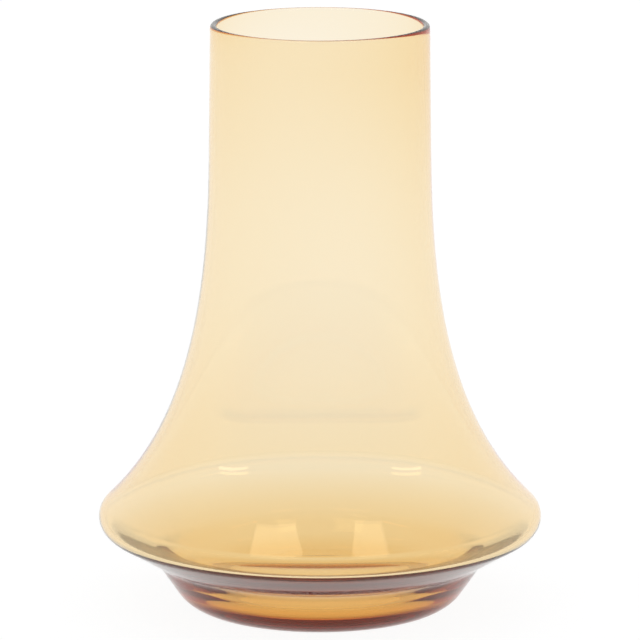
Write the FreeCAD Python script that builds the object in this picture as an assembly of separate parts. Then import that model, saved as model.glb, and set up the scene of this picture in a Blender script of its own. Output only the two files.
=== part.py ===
import FreeCAD, Part
import math
import os

from FreeCAD import Vector

# A tall flower vase of clear amber glass, blown in one piece. A straight neck opens in a bell to a
# thin rounded edge. Below it a sloping underside runs in to a crease, and a bowl foot with a thick
# floor stands on a flat ground ring round a shallow punt.
# +Z is up, and the origin is the centre of the plane that the vase stands on.
# Lengths are in millimetres and angles in degrees.

# Outside form
HEIGHT = 252.0            # standing plane to the top of the lip
MOUTH_DIAMETER = 93.0     # over the lip
NECK_DIAMETER = 94.4      # over the neck's lower end, where the bell begins
NECK_END_HEIGHT = 195.0   # standing plane to that place
EDGE_DIAMETER = 190.0     # over the bell's edge, the widest place
EDGE_HEIGHT = 39.0        # standing plane to the middle of the edge's rounding
EDGE_RADIUS = 7.5         # outside rounding of the edge
BELL_END_ANGLE = 46.0     # how far the bell's face looks up where it meets the edge
CREASE_DIAMETER = 142.0   # where underside and foot wall would meet if the crease were sharp
CREASE_HEIGHT = 20.5      # standing plane to that place
CREASE_RADIUS = 10.0      # outside rounding of the crease
FOOT_LEAN = 34.5          # lean of the foot's wall from upright
HEEL_RADIUS = 16.0        # outside rounding from the foot's wall to the standing ring
RING_WIDTH = 8.0          # flat ground ring that the vase stands on
PUNT_DEPTH = 2.0          # hollow under the base, at its middle

# Glass thickness
LIP_WALL = 3.0
NECK_WALL = 2.4           # where the bell begins
EDGE_WALL = 2.7           # all round the edge's rounding
UNDERSIDE_WALL = 6.0      # at the crease, from where it thins to the edge
FOOT_WALL = 7.5           # where the bowl's inside would meet the crease
BASE_THICKNESS = 7.0      # at the middle of the floor, over the punt
INNER_CREASE_RADIUS = 25.0  # inside rounding over the crease

# The bell's curve leaves the neck along the neck's line and joins the edge along the edge's tangent.
# Each share is how far it holds to that line, as part of the bell's drop.
NECK_HOLD_SHARE = 0.411
EDGE_HOLD_SHARE = 0.334

LIP_ARCS = 4              # equal arcs that the lip's rounding is drawn in

FULL_TURN = 360.0
QUARTER_TURN = 90.0
UP = Vector(0, 0, 1)
LEFT = 1
RIGHT = -1


def section_point(radius, height):
    """Point of the half section, which lies in the XZ plane."""
    return Vector(radius, 0, height)


def direction(angle):
    """Unit vector in the half section, at an angle above the outward horizontal."""
    turn = math.radians(angle)
    return section_point(math.cos(turn), math.sin(turn))


def unit(vector):
    return vector / vector.Length


def cross_2d(first, second):
    return first.x * second.z - first.z * second.x


def meeting_point(first, first_way, second, second_way):
    """Where the line from first along first_way crosses the line from second along second_way."""
    reach = cross_2d(second - first, second_way) / cross_2d(first_way, second_way)
    return first + first_way * reach


def angle_to_circle(corner, centre, radius, side):
    """Angle of the line from corner that touches a circle on its left or right side."""
    to_centre = centre - corner
    aim = math.atan2(to_centre.z, to_centre.x)
    return math.degrees(aim + side * math.asin(radius / to_centre.Length))


def arc_about(centre, radius, start_angle, end_angle):
    """Arc between two angles, by way of the angle halfway between them."""
    middle_angle = (start_angle + end_angle) / 2
    start, middle, end = (centre + direction(angle) * radius
                          for angle in (start_angle, middle_angle, end_angle))
    return Part.Arc(start, middle, end)


def arcs_about(centre, radius, start_angle, end_angle, count):
    """One rounding, drawn as arcs of equal length that follow each other."""
    turn = (end_angle - start_angle) / count
    return [arc_about(centre, radius, start_angle + turn * step, start_angle + turn * (step + 1))
            for step in range(count)]


def rounded_corner(before, corner, after, radius):
    """Arc of one radius that touches both legs of a corner."""
    back = unit(before - corner)
    ahead = unit(after - corner)
    half_angle = back.getAngle(ahead) / 2
    setback = radius / math.tan(half_angle)
    bisector = unit(back + ahead)
    centre = corner + bisector * (radius / math.sin(half_angle))
    return Part.Arc(corner + back * setback, centre - bisector * radius, corner + ahead * setback)


def widest_round(before, corner, after):
    """Radius of the rounding that starts at before and takes up the whole of that leg."""
    leg = before - corner
    return leg.Length * math.tan(leg.getAngle(after - corner) / 2)


def cap_arc(rim_radius, rim_height, rise):
    """Arc from the rim of a shallow dome to its level top on the axis."""
    radius = (rim_radius ** 2 + rise ** 2) / (2 * rise)
    centre = section_point(0, rim_height + rise - radius)
    rim_angle = math.degrees(math.acos(rim_radius / radius))
    return arc_about(centre, radius, rim_angle, QUARTER_TURN)


def bell_curve(start, neck_angle, end):
    """Curve of the bell, down from the neck's lower end to the top of the edge's rounding."""
    drop = start.z - end.z
    neck_hold = start - direction(neck_angle) * (drop * NECK_HOLD_SHARE)
    edge_hold = end + direction(BELL_END_ANGLE + QUARTER_TURN) * (drop * EDGE_HOLD_SHARE)
    curve = Part.BezierCurve()
    curve.setPoles([start, neck_hold, edge_hold, end])
    return curve


def vase_section():
    """Closed half section of the glass, lip to edge to foot outside and back up inside."""
    lip_radius = LIP_WALL / 2
    lip_centre = section_point(MOUTH_DIAMETER / 2 - lip_radius, HEIGHT - lip_radius)
    neck_end = section_point(NECK_DIAMETER / 2, NECK_END_HEIGHT)
    inner_neck_end = neck_end - section_point(NECK_WALL, 0)
    neck_angle = angle_to_circle(neck_end, lip_centre, lip_radius, RIGHT)
    inner_neck_angle = angle_to_circle(inner_neck_end, lip_centre, lip_radius, LEFT)
    lip = arcs_about(lip_centre, lip_radius, inner_neck_angle + QUARTER_TURN,
                     neck_angle - QUARTER_TURN, LIP_ARCS)

    edge_centre = section_point(EDGE_DIAMETER / 2 - EDGE_RADIUS, EDGE_HEIGHT)
    crease = section_point(CREASE_DIAMETER / 2, CREASE_HEIGHT)
    outer_slope = angle_to_circle(crease, edge_centre, EDGE_RADIUS, RIGHT)
    outer_edge = arc_about(edge_centre, EDGE_RADIUS, BELL_END_ANGLE, outer_slope - QUARTER_TURN)
    foot_way = direction(-QUARTER_TURN - FOOT_LEAN)
    ground_corner = meeting_point(crease, foot_way, Vector(), direction(0.0))
    outer_crease = rounded_corner(outer_edge.EndPoint, crease, ground_corner, CREASE_RADIUS)
    heel = rounded_corner(crease, ground_corner, Vector(), HEEL_RADIUS)
    ring_inside = section_point(heel.EndPoint.x - RING_WIDTH, 0)
    punt = cap_arc(ring_inside.x, 0, PUNT_DEPTH)

    floor_centre = section_point(0, PUNT_DEPTH + BASE_THICKNESS)
    under_inside = crease + direction(outer_slope + QUARTER_TURN) * UNDERSIDE_WALL
    foot_inside = crease + section_point(foot_way.z, -foot_way.x) * FOOT_WALL
    inner_crease = meeting_point(under_inside, direction(outer_slope), foot_inside, foot_way)
    inner_edge_radius = EDGE_RADIUS - EDGE_WALL
    inner_slope = angle_to_circle(inner_crease, edge_centre, inner_edge_radius, RIGHT)
    inner_edge = arc_about(edge_centre, inner_edge_radius, inner_slope - QUARTER_TURN, BELL_END_ANGLE)
    floor_corner = meeting_point(inner_crease, foot_way, floor_centre, direction(0.0))
    inner_round = rounded_corner(inner_edge.StartPoint, inner_crease, floor_corner, INNER_CREASE_RADIUS)
    floor_round = rounded_corner(inner_round.EndPoint, floor_corner, floor_centre,
                                 widest_round(inner_round.EndPoint, floor_corner, floor_centre))

    outside = [Part.LineSegment(lip[-1].EndPoint, neck_end),
               bell_curve(neck_end, neck_angle, outer_edge.StartPoint), outer_edge,
               Part.LineSegment(outer_edge.EndPoint, outer_crease.StartPoint), outer_crease,
               Part.LineSegment(outer_crease.EndPoint, heel.StartPoint), heel,
               Part.LineSegment(heel.EndPoint, ring_inside), punt]
    inside = [Part.LineSegment(punt.EndPoint, floor_centre),
              Part.LineSegment(floor_centre, floor_round.EndPoint), floor_round, inner_round,
              Part.LineSegment(inner_round.StartPoint, inner_edge.StartPoint), inner_edge,
              bell_curve(inner_neck_end, inner_neck_angle, inner_edge.EndPoint),
              Part.LineSegment(inner_neck_end, lip[0].StartPoint)]
    return Part.Wire([curve.toShape() for curve in lip + outside + inside])


def vase_body():
    return Part.Face(vase_section()).revolve(Vector(), UP, FULL_TURN)


os.makedirs("parts", exist_ok=True)
vase_body().exportStep("parts/vase_body.step")
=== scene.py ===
import math

import bpy
import numpy as np
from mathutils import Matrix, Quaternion, Vector


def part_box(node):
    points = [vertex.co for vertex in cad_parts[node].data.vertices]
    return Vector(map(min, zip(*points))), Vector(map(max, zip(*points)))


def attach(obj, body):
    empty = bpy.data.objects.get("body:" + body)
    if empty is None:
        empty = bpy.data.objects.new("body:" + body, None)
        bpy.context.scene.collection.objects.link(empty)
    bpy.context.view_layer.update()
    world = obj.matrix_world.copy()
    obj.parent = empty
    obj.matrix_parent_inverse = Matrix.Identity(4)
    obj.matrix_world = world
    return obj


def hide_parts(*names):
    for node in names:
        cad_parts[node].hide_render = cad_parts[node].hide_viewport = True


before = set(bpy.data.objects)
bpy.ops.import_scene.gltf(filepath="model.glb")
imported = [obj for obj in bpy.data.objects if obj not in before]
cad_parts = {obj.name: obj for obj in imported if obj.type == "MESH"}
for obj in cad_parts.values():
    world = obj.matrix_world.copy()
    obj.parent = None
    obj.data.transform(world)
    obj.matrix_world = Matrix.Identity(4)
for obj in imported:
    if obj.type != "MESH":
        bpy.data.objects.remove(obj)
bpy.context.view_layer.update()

# A blown vase of clear amber glass, in metres, on a pale floor in soft studio light.
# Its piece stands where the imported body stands: +Z up, origin at the centre of the standing plane.

bl_info = {
    "name": "Amber glass vase",
    "version": (1, 0, 0),
    "blender": (4, 5, 0),
    "location": "View3D > Sidebar > Vase",
    "description": "Blows a bell-shaped glass vase and sets it on a lit studio floor",
    "category": "Add Mesh",
}

MM = 0.001
QUARTER_TURN = math.pi / 2
FULL_TURN = 2 * math.pi
BODY_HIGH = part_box("vase_body")[1]
LEFT, RIGHT = 1, -1

# Mesh
OUTLINE_STEP = 2.2 * MM
FINE_STEP = 0.6 * MM          # on tight roundings
FEWEST_ARC_STEPS = 6

# Inside of the blown wall. Each wave has its count round the axis, its share, how far its phase
# drifts over the height, and its start. Fades are shares of the height.
WALL_WAVES = ((2, 1.0, 2.3, 0.0), (3, 0.6, -5.1, 1.2), (5, 0.35, 8.7, 2.6))
LIP_FADE = 0.06
FLOOR_FADE_START = 0.07
FLOOR_FADE = 0.08
THICK_SIDE = math.radians(-29.0)

# Drawn-out waviness and ground ring, by height over the standing plane
WAVE_STRETCH = (1.0, 1.0, 0.25)
WAVE_DETAIL = 1.0
WAVE_ROUGHNESS = 0.4
GROUND_UP_TO = 0.02 * MM
POLISHED_FROM = 0.12 * MM

# Studio air, by the direction that is looked in: +Z overhead, -Y behind the camera
LEVEL_AIR = (1.02, 1.02, 1.02, 1.0)
OVERHEAD_AIR = (0.85, 0.85, 0.87, 1.0)
LEVEL_UP_TO = 0.1
OVERHEAD_FROM = 0.75
SHADE_FROM = -0.75
SHADE_UP_TO = 0.1

# Lamps: name, place to the side and in front, turn, width and depth
SOFTBOXES = (("left_softbox", -0.46, 0.53, math.radians(-24.0), 0.50, 0.38),
             ("right_softbox", 0.53, 0.54, math.radians(24.0), 0.35, 0.40))
STRIP_LENGTH = 0.7
STRIP_WIDTH = 0.03
BELL_MIDDLE = Vector((0.0, 0.0, 0.075))

WHITE = (1.0, 1.0, 1.0, 1.0)
FLOOR_GAP = 0.05 * MM         # between floor and standing plane, so that they don't share a plane
MOST_BOUNCES = 32
VOLUME_BOUNCES = 2


def length(name, description, default):
    """A size in metres that a user may change."""
    return bpy.props.FloatProperty(name=name, description=description, default=default, min=0.0,
                                   subtype="DISTANCE", unit="LENGTH", precision=5)


def number(name, description, default):
    """A plain number from 0 that a user may change."""
    return bpy.props.FloatProperty(name=name, description=description, default=default, min=0.0)


def angle(name, description, degrees):
    """An angle that a user may change."""
    return bpy.props.FloatProperty(name=name, description=description,
                                   default=math.radians(degrees), subtype="ANGLE", unit="ROTATION")


def share(name, description, default):
    """A part of something, from 0 to 1."""
    return bpy.props.FloatProperty(name=name, description=description, default=default,
                                   min=0.0, max=1.0, subtype="FACTOR")


def colour(name, description, default):
    """A linear colour that a user may change."""
    return bpy.props.FloatVectorProperty(name=name, description=description, default=default,
                                         subtype="COLOR", size=3, min=0.0, max=1.0)


class VaseSizes(bpy.types.PropertyGroup):
    """Outline and walls of the glass."""

    height: length("Height", "Standing plane to the top of the lip", BODY_HIGH.z)
    mouth_diameter: length("Mouth", "Diameter over the lip", 93.0 * MM)
    neck_diameter: length("Neck", "Diameter over the neck's lower end", 94.4 * MM)
    neck_end_height: length("Neck end", "Height where the neck turns into the bell", 195.0 * MM)
    edge_diameter: length("Edge", "Diameter over the bell's edge", 190.0 * MM)
    edge_height: length("Edge height", "Height of the middle of the edge's rounding", 39.0 * MM)
    edge_radius: length("Edge rounding", "Outside rounding of the edge", 7.5 * MM)
    bell_end_angle: angle("Bell angle", "How far the bell looks up at the edge", 46.0)
    neck_hold: share("Neck hold", "Part of the bell's drop held to the neck's line", 0.411)
    edge_hold: share("Edge hold", "Part of the bell's drop held to the edge's tangent", 0.334)
    crease_diameter: length("Crease", "Diameter at the crease, before it is rounded", 142.0 * MM)
    crease_height: length("Crease height", "Height of the crease, before it is rounded", 20.5 * MM)
    crease_radius: length("Crease rounding", "Outside rounding of the crease", 10.0 * MM)
    foot_lean: angle("Foot lean", "Lean of the foot's wall from upright", 34.5)
    heel_radius: length("Heel rounding", "Outside rounding from foot to standing ring", 16.0 * MM)
    ring_width: length("Ring width", "Width of the flat ground ring", 8.0 * MM)
    punt_depth: length("Punt depth", "Hollow under the base, at its middle", 2.0 * MM)
    lip_wall: length("Lip wall", "Thickness of the lip", 3.0 * MM)
    neck_wall: length("Neck wall", "Thickness where the bell begins", 2.4 * MM)
    edge_wall: length("Edge wall", "Thickness at the edge", 2.7 * MM)
    underside_wall: length("Underside wall", "Thickness of the underside at the crease", 6.0 * MM)
    foot_wall: length("Foot wall", "Thickness of the foot's wall", 7.5 * MM)
    base_thickness: length("Base", "Thickness of the floor over the punt", 7.0 * MM)
    inner_crease_radius: length("Inner crease", "Inside rounding over the crease", 25.0 * MM)
    wall_wander: length("Wall wander", "How much the inside of the wall wanders", 0.09 * MM)
    bore_lean: length("Bore lean", "How far the bore leaves the axis below the lip", 0.45 * MM)
    steps_around: bpy.props.IntProperty(
        name="Steps around", description="Mesh steps round the axis", default=256, min=32, max=512)


class GlassLook(bpy.types.PropertyGroup):
    """Colour and surface of the glass."""

    tint: colour("Tint", "Colour that the glass lets through", (0.899, 0.635, 0.030))
    tint_density: number("Tint depth", "How fast the tint deepens, per metre", 128.9)
    ior: bpy.props.FloatProperty(name="Bending of light", description="Index of refraction",
                                 default=1.5, min=1.0, max=2.0)
    polish: share("Polish", "Roughness of the fire-polished glass", 0.0)
    ground_roughness: share("Ground ring", "Roughness of the ground standing ring", 0.42)
    wave_scale: number("Waves", "Size of the waviness: waves in a metre", 28.0)
    wave_strength: share("Wave strength", "Strength of the waviness in the surface", 0.35)
    wave_height: length("Wave height", "Height of the waviness", 0.15 * MM)
    mirror_tint: colour("Mirror tint", "Colour of the reflections seen head on", (1.0, 0.78, 0.45))


class StudioLook(bpy.types.PropertyGroup):
    """Floor, lights and camera."""

    floor_colour: colour("Floor", "Colour of the floor", (0.1, 0.1, 0.1))
    floor_glow: number("Floor glow", "Light from under the floor", 0.93)
    floor_span: length("Floor span", "Length of the floor's sides", 60.0)
    front_shade: share("Front shade", "Brightness of the room behind the camera", 0.72)
    softbox_height: length("Softbox height", "Height of the two softboxes over the floor", 1.5)
    softbox_power: number("Softbox power", "Watts for a square metre of softbox", 5.2)
    strip_distance: length("Strip distance", "Distance from the vase to the two strip lamps", 2.0)
    strip_height: angle("Strip height", "How far the strips stand over the bell's level", 33.5)
    strip_side: angle("Strip side", "How far the strips stand to the camera's sides", 68.0)
    strip_roll: angle("Strip roll", "How far the strips rise towards the camera", 14.0)
    strip_power: number("Strip power", "Watts for a square metre of strip", 12.0)
    camera_distance: length("Camera distance", "Level distance from axis to camera", 2.28)
    camera_height: length("Camera height", "Height of the camera over the floor", 0.6147)
    camera_pitch: angle("Camera pitch", "How far the camera looks down", 12.143)
    camera_lens: bpy.props.FloatProperty(name="Lens", description="Focal length", default=307.4,
                                         min=1.0, subtype="DISTANCE_CAMERA", unit="CAMERA")


def way(turn):
    """Unit vector of the half section at an angle over the outward level line."""
    return np.array([math.cos(turn), math.sin(turn)])


def unit(vector):
    return vector / np.linalg.norm(vector)


def meeting_point(first, first_way, second, second_way):
    """Where two lines of the half section cross: first + reach * first_way."""
    gap = second - first
    reach = np.cross(gap, second_way) / np.cross(first_way, second_way)
    return first + first_way * reach


def angle_to_circle(corner, centre, radius, side):
    """Angle of the line from corner that touches a circle: the aim at its centre, turned to one
    side by the arcsine of radius over distance."""
    gap = centre - corner
    return math.atan2(gap[1], gap[0]) + side * math.asin(radius / np.linalg.norm(gap))


def line_points(start, end, step):
    """Points along a line, start + share * (end - start), without the last."""
    count = max(1, math.ceil(np.linalg.norm(end - start) / step))
    return start + np.linspace(0, 1, count, endpoint=False)[:, None] * (end - start)


def arc_points(centre, radius, start, end, step):
    """Points on an arc, centre + radius * (cos, sin) of an angle that runs evenly, without the
    last."""
    count = max(FEWEST_ARC_STEPS, math.ceil(abs(end - start) * radius / step))
    turns = np.linspace(start, end, count, endpoint=False)
    return centre + radius * np.stack([np.cos(turns), np.sin(turns)], axis=1)


def curve_points(poles, step):
    """Points on a cubic curve of four poles: the sum of each pole times its Bernstein weight,
    without the last."""
    count = math.ceil(np.linalg.norm(np.diff(poles, axis=0), axis=1).sum() / step)
    s = np.linspace(0, 1, count, endpoint=False)[:, None]
    weights = np.hstack([(1 - s) ** 3, 3 * s * (1 - s) ** 2, 3 * s ** 2 * (1 - s), s ** 3])
    return weights @ poles


def corner_arc(before, corner, after, radius):
    """Centre, radius, start angle and end angle of the arc that touches both legs of a corner."""
    back, ahead = unit(before - corner), unit(after - corner)
    half = math.acos(np.clip(back @ ahead, -1, 1)) / 2
    centre = corner + unit(back + ahead) * (radius / math.sin(half))
    touch = [corner + leg * (radius / math.tan(half)) - centre for leg in (back, ahead)]
    start, end = (math.atan2(t[1], t[0]) for t in touch)
    end = start + (end - start + math.pi) % FULL_TURN - math.pi
    return centre, radius, start, end


def on_circle(centre, radius, turn):
    """Point of a circle at an angle."""
    return centre + way(turn) * radius


def arc_start(arc):
    centre, radius, start, _ = arc
    return on_circle(centre, radius, start)


def arc_end(arc):
    centre, radius, _, end = arc
    return on_circle(centre, radius, end)


def backwards(arc):
    """The same arc, run from its end to its start."""
    centre, radius, start, end = arc
    return centre, radius, end, start


def bell_poles(sizes, start, neck_angle, end):
    """Four poles of the bell: its ends, and how far it holds to the neck's line and the edge's
    tangent."""
    drop = start[1] - end[1]
    return np.array([start, start - way(neck_angle) * drop * sizes.neck_hold,
                     end + way(sizes.bell_end_angle + QUARTER_TURN) * drop * sizes.edge_hold, end])


def half_section(sizes, step, fine_step):
    """The glass's half section as one outline of radius and height, and where its inside starts. It
    runs up the outside from the punt's middle to the lip, and down the inside to the middle of the
    floor. It is made of lines, arcs that touch them, and one cubic curve for each bell face."""
    level = way(0.0)
    lip_radius = sizes.lip_wall / 2
    lip_centre = np.array([sizes.mouth_diameter / 2 - lip_radius, sizes.height - lip_radius])
    neck_end = np.array([sizes.neck_diameter / 2, sizes.neck_end_height])
    inner_neck_end = neck_end - level * sizes.neck_wall
    neck_angle = angle_to_circle(neck_end, lip_centre, lip_radius, RIGHT)
    inner_neck_angle = angle_to_circle(inner_neck_end, lip_centre, lip_radius, LEFT)
    lip = (lip_centre, lip_radius, neck_angle - QUARTER_TURN, inner_neck_angle + QUARTER_TURN)

    edge_centre = np.array([sizes.edge_diameter / 2 - sizes.edge_radius, sizes.edge_height])
    crease = np.array([sizes.crease_diameter / 2, sizes.crease_height])
    slope = angle_to_circle(crease, edge_centre, sizes.edge_radius, RIGHT)
    edge = (edge_centre, sizes.edge_radius, slope - QUARTER_TURN, sizes.bell_end_angle)
    foot_way = way(-QUARTER_TURN - sizes.foot_lean)
    axis = np.zeros(2)
    ground = meeting_point(crease, foot_way, axis, level)
    crease_arc = corner_arc(arc_start(edge), crease, ground, sizes.crease_radius)
    heel_arc = corner_arc(crease, ground, axis, sizes.heel_radius)
    ring_outside = np.array([heel_arc[0][0], 0.0])
    ring_inside = ring_outside - level * sizes.ring_width
    punt_radius = (ring_inside[0] ** 2 + sizes.punt_depth ** 2) / (2 * sizes.punt_depth)
    punt_centre = np.array([0.0, sizes.punt_depth - punt_radius])
    punt = (punt_centre, punt_radius, QUARTER_TURN, math.acos(ring_inside[0] / punt_radius))

    floor_middle = np.array([0.0, sizes.punt_depth + sizes.base_thickness])
    under_inside = crease + way(slope + QUARTER_TURN) * sizes.underside_wall
    foot_inside = crease + np.array([foot_way[1], -foot_way[0]]) * sizes.foot_wall
    inner_crease = meeting_point(under_inside, way(slope), foot_inside, foot_way)
    inner_edge_radius = sizes.edge_radius - sizes.edge_wall
    inner_slope = angle_to_circle(inner_crease, edge_centre, inner_edge_radius, RIGHT)
    inner_edge = (edge_centre, inner_edge_radius, sizes.bell_end_angle, inner_slope - QUARTER_TURN)
    floor_corner = meeting_point(inner_crease, foot_way, floor_middle, level)
    inner_round = corner_arc(arc_end(inner_edge), inner_crease, floor_corner,
                             sizes.inner_crease_radius)
    leg = arc_end(inner_round) - floor_corner
    turn = math.acos(unit(leg) @ -level)
    floor_radius = np.linalg.norm(leg) * math.tan(turn / 2)
    floor_arc = corner_arc(floor_corner + leg, floor_corner, floor_middle, floor_radius)

    outside = [
        arc_points(*punt, step),
        line_points(ring_inside, ring_outside, step),
        arc_points(*backwards(heel_arc), fine_step),
        line_points(arc_start(heel_arc), arc_end(crease_arc), step),
        arc_points(*backwards(crease_arc), fine_step),
        line_points(arc_start(crease_arc), arc_start(edge), step),
        arc_points(*edge, fine_step),
        curve_points(bell_poles(sizes, neck_end, neck_angle, arc_end(edge))[::-1], step),
        line_points(neck_end, arc_start(lip), step),
        arc_points(*lip, fine_step / 2),
    ]
    inside = [
        line_points(arc_end(lip), inner_neck_end, step),
        curve_points(bell_poles(sizes, inner_neck_end, inner_neck_angle, arc_start(inner_edge)),
                     step),
        arc_points(*inner_edge, fine_step),
        line_points(arc_end(inner_edge), arc_start(inner_round), step),
        arc_points(*inner_round, step),
        arc_points(*floor_arc, step),
        line_points(arc_end(floor_arc), floor_middle, step),
        floor_middle[None],
    ]
    inner_start = sum(len(part) for part in outside)
    return np.concatenate(outside + inside), inner_start


def turned_surface(outline, steps_around, offsets):
    """Points and faces of the outline carried once round the axis: (r cos t, r sin t, z), where r
    gets the offset of its outline point and turn. The first and last outline points lie on the
    axis and close as poles."""
    turns = np.linspace(0, FULL_TURN, steps_around, endpoint=False)
    rings = outline[1:-1]
    radius = rings[:, :1] + offsets[1:-1]
    height = np.repeat(rings[:, 1:], steps_around, axis=1)
    grid = np.stack([radius * np.cos(turns), radius * np.sin(turns), height], axis=-1)
    poles = np.array([[0.0, 0.0, outline[0, 1]], [0.0, 0.0, outline[-1, 1]]])
    points = np.concatenate([poles, grid.reshape(-1, 3)])

    index = np.arange(len(rings) * steps_around).reshape(len(rings), steps_around) + len(poles)
    beside = np.roll(index, -1, axis=1)
    quads = np.stack([index[:-1], beside[:-1], beside[1:], index[1:]], axis=-1).reshape(-1, 4)
    under = np.stack([np.zeros(steps_around, int), beside[0], index[0]], axis=-1)
    over = np.stack([np.ones(steps_around, int), index[-1], beside[-1]], axis=-1)
    return points, quads, np.concatenate([under, over])


def add_mesh(name, points, quads, triangles):
    """A smooth mesh object at the origin, linked to the scene."""
    mesh = bpy.data.meshes.new(name)
    mesh.from_pydata(points.tolist(), [], quads.tolist() + triangles.tolist())
    mesh.polygons.foreach_set("use_smooth", np.ones(len(mesh.polygons), bool))
    mesh.update()
    piece = bpy.data.objects.new(name, mesh)
    bpy.context.scene.collection.objects.link(piece)
    return piece


def wall_wander(sizes, outline, inner_start):
    """How far each point of the inner wall moves outwards, for every turn: a mean of slow waves
    round the axis, whose phase drifts with height, faded out at the lip and over the floor. The
    neck's bore also leans to one side, by the square of how far up the upper half it is, which
    leaves the right wall thicker."""
    turns = np.linspace(0, FULL_TURN, sizes.steps_around, endpoint=False)[None, :]
    height = outline[:, 1:] / sizes.height
    waves = sum(part * np.sin(count * turns + drift * height + start)
                for count, part, drift, start in WALL_WAVES)
    waves = waves / sum(part for _, part, _, _ in WALL_WAVES)
    fade_lip = np.clip((1.0 - height) / LIP_FADE, 0, 1)
    fade_floor = np.clip((height - FLOOR_FADE_START) / FLOOR_FADE, 0, 1)
    lean = -np.cos(turns - THICK_SIDE) * np.clip(2 * height - 1, 0, 1) ** 2
    inner = (np.arange(len(outline)) >= inner_start)[:, None]
    return inner * fade_lip * (fade_floor * waves * sizes.wall_wander + lean * sizes.bore_lean)


def shaded(name):
    """A new material and its main shader."""
    material = bpy.data.materials.new(name)
    material.use_nodes = True
    return material, material.node_tree.nodes["Principled BSDF"]


def remap(nodes, from_min, from_max, to_min, to_max):
    """A node that carries one range of numbers over to another."""
    node = nodes.new("ShaderNodeMapRange")
    node.inputs["From Min"].default_value = from_min
    node.inputs["From Max"].default_value = from_max
    node.inputs["To Min"].default_value = to_min
    node.inputs["To Max"].default_value = to_max
    return node


def amber_glass(look):
    """Clear glass whose amber deepens with the path of light through it. The standing ring is
    ground satin, and the rest is fire-polished with a faint drawn-out waviness."""
    material, shader = shaded("amber_glass")
    nodes, links = material.node_tree.nodes, material.node_tree.links
    shader.inputs["Base Color"].default_value = WHITE
    shader.inputs["IOR"].default_value = look.ior
    shader.inputs["Transmission Weight"].default_value = 1.0
    shader.inputs["Metallic"].default_value = 0.0
    shader.inputs["Specular Tint"].default_value = (*look.mirror_tint, 1.0)

    depth = nodes.new("ShaderNodeVolumeAbsorption")
    depth.inputs["Color"].default_value = (*look.tint, 1.0)
    depth.inputs["Density"].default_value = look.tint_density
    links.new(depth.outputs["Volume"], nodes["Material Output"].inputs["Volume"])

    place = nodes.new("ShaderNodeTexCoord")
    parts = nodes.new("ShaderNodeSeparateXYZ")
    links.new(place.outputs["Object"], parts.inputs["Vector"])
    ground = remap(nodes, GROUND_UP_TO, POLISHED_FROM, look.ground_roughness, look.polish)
    links.new(parts.outputs["Z"], ground.inputs["Value"])
    links.new(ground.outputs["Result"], shader.inputs["Roughness"])

    stretch = nodes.new("ShaderNodeMapping")
    stretch.inputs["Scale"].default_value = WAVE_STRETCH
    links.new(place.outputs["Object"], stretch.inputs["Vector"])
    wave = nodes.new("ShaderNodeTexNoise")
    wave.inputs["Scale"].default_value = look.wave_scale
    wave.inputs["Detail"].default_value = WAVE_DETAIL
    wave.inputs["Roughness"].default_value = WAVE_ROUGHNESS
    links.new(stretch.outputs["Vector"], wave.inputs["Vector"])
    bump = nodes.new("ShaderNodeBump")
    bump.inputs["Strength"].default_value = look.wave_strength
    bump.inputs["Distance"].default_value = look.wave_height
    links.new(wave.outputs["Fac"], bump.inputs["Height"])
    links.new(bump.outputs["Normal"], shader.inputs["Normal"])
    return material


def floor_material(look):
    """Matt pale floor, lit from above and from under."""
    material, shader = shaded("studio_floor")
    shader.inputs["Roughness"].default_value = 1.0
    shader.inputs["Specular IOR Level"].default_value = 0.0
    shader.inputs["Base Color"].default_value = (*look.floor_colour, 1.0)
    shader.inputs["Emission Color"].default_value = WHITE
    shader.inputs["Emission Strength"].default_value = look.floor_glow
    return material


def make_world(look):
    """Studio air: bright behind the vase, darker behind the camera and greyer overhead."""
    world = bpy.data.worlds.new("studio_air")
    bpy.context.scene.world = world
    world.use_nodes = True
    nodes, links = world.node_tree.nodes, world.node_tree.links
    background = nodes["Background"]
    place = nodes.new("ShaderNodeTexCoord")
    parts = nodes.new("ShaderNodeSeparateXYZ")
    links.new(place.outputs["Generated"], parts.inputs["Vector"])
    ramp = nodes.new("ShaderNodeValToRGB")
    ramp.color_ramp.interpolation = "EASE"
    level, overhead = ramp.color_ramp.elements
    level.position, level.color = LEVEL_UP_TO, LEVEL_AIR
    overhead.position, overhead.color = OVERHEAD_FROM, OVERHEAD_AIR
    links.new(parts.outputs["Z"], ramp.inputs["Fac"])
    links.new(ramp.outputs["Color"], background.inputs["Color"])
    front = remap(nodes, SHADE_FROM, SHADE_UP_TO, look.front_shade, 1.0)
    front.interpolation_type = "SMOOTHSTEP"
    links.new(parts.outputs["Y"], front.inputs["Value"])
    links.new(front.outputs["Result"], background.inputs["Strength"])


def add_lamp(name, place, turn, width, depth, power):
    """A rectangular lamp with so many watts to the square metre."""
    lamp = bpy.data.lights.new(name, "AREA")
    lamp.shape = "RECTANGLE"
    lamp.size, lamp.size_y = width, depth
    lamp.energy = power * width * depth
    holder = bpy.data.objects.new(name, lamp)
    holder.location = place
    holder.rotation_euler = turn
    bpy.context.scene.collection.objects.link(holder)


def add_softboxes(look):
    """Two level softboxes over the front of the vase."""
    for name, side, forward, turn, width, depth in SOFTBOXES:
        place = (side, -forward, look.softbox_height)
        add_lamp(name, place, (0.0, 0.0, turn), width, depth, look.softbox_power)


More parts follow.
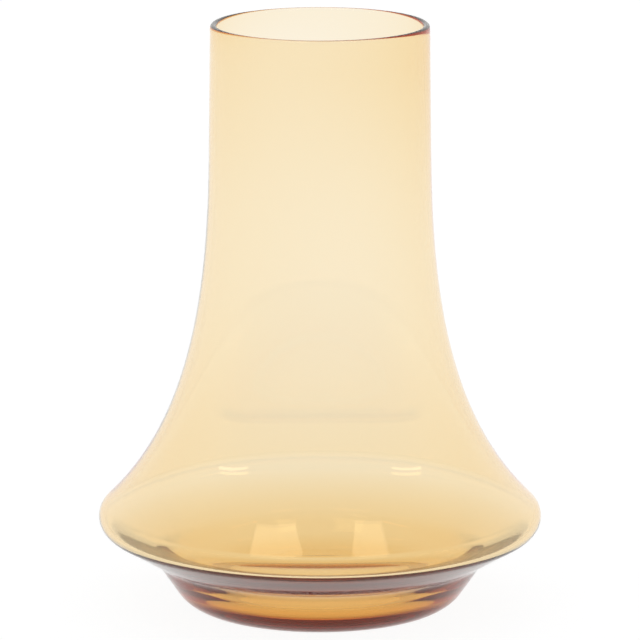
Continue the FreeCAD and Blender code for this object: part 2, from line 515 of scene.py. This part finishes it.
def add_strips(look):
    """Two long thin lamps to the sides of the camera, each turned to the vase's bell."""
    level = look.strip_distance * math.cos(look.strip_height)
    rise = look.strip_distance * math.sin(look.strip_height)
    for name, side in (("left_strip", -1), ("right_strip", 1)):
        reach = Vector((side * level * math.sin(look.strip_side),
                        -level * math.cos(look.strip_side), rise))
        roll = Quaternion((0.0, 0.0, 1.0), -side * look.strip_roll)
        turn = ((-reach).to_track_quat("-Z", "Y") @ roll).to_euler()
        add_lamp(name, BELL_MIDDLE + reach, turn, STRIP_LENGTH, STRIP_WIDTH, look.strip_power)


class VASE_OT_blow_body(bpy.types.Operator):
    """Blow the glass body in one piece."""

    bl_idname = "vase.blow_body"
    bl_label = "Blow vase body"

    def execute(self, context):
        sizes, look = context.scene.vase_sizes, context.scene.glass_look
        outline, inner_start = half_section(sizes, OUTLINE_STEP, FINE_STEP)
        offsets = wall_wander(sizes, outline, inner_start)
        body = add_mesh("blown_vase_body", *turned_surface(outline, sizes.steps_around, offsets))
        body.data.materials.append(amber_glass(look))
        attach(body, "root")
        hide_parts("vase_body")
        return {"FINISHED"}


class VASE_OT_set_stage(bpy.types.Operator):
    """Lay the floor and set lights and camera."""

    bl_idname = "vase.set_stage"
    bl_label = "Set stage"

    def execute(self, context):
        scene, look = context.scene, context.scene.studio_look
        half = look.floor_span / 2
        corners = np.array([[x, y, -FLOOR_GAP] for x, y in ((-half, -half), (half, -half),
                                                            (half, half), (-half, half))])
        floor = add_mesh("studio_floor", corners, np.array([[0, 1, 2, 3]]), np.empty((0, 3), int))
        floor.data.materials.append(floor_material(look))
        make_world(look)
        add_softboxes(look)
        add_strips(look)

        lens = bpy.data.cameras.new("photo_camera")
        lens.lens = look.camera_lens
        lens.clip_end = look.floor_span
        camera = bpy.data.objects.new("photo_camera", lens)
        camera.location = (0.0, -look.camera_distance, look.camera_height)
        camera.rotation_euler = (QUARTER_TURN - look.camera_pitch, 0.0, 0.0)
        scene.collection.objects.link(camera)
        scene.camera = camera

        scene.view_settings.view_transform = "Standard"
        scene.cycles.max_bounces = MOST_BOUNCES
        scene.cycles.transmission_bounces = MOST_BOUNCES
        scene.cycles.glossy_bounces = MOST_BOUNCES
        scene.cycles.volume_bounces = VOLUME_BOUNCES
        return {"FINISHED"}


class VASE_PT_sidebar(bpy.types.Panel):
    """Vase tools in the 3D view's sidebar."""

    bl_label = "Vase"
    bl_space_type = "VIEW_3D"
    bl_region_type = "UI"
    bl_category = "Vase"

    def draw(self, context):
        for operator in (VASE_OT_blow_body, VASE_OT_set_stage):
            self.layout.operator(operator.bl_idname)
        scene = context.scene
        for group in (scene.vase_sizes, scene.glass_look, scene.studio_look):
            box = self.layout.box()
            for name in group.__annotations__:
                box.prop(group, name)


CLASSES = (VaseSizes, GlassLook, StudioLook, VASE_OT_blow_body, VASE_OT_set_stage, VASE_PT_sidebar)


def register():
    for cls in CLASSES:
        bpy.utils.register_class(cls)
    bpy.types.Scene.vase_sizes = bpy.props.PointerProperty(type=VaseSizes)
    bpy.types.Scene.glass_look = bpy.props.PointerProperty(type=GlassLook)
    bpy.types.Scene.studio_look = bpy.props.PointerProperty(type=StudioLook)


def unregister():
    for name in ("studio_look", "glass_look", "vase_sizes"):
        delattr(bpy.types.Scene, name)
    for cls in reversed(CLASSES):
        bpy.utils.unregister_class(cls)


def main():
    register()
    bpy.ops.vase.blow_body()
    bpy.ops.vase.set_stage()


if __name__ == "__main__":
    main()
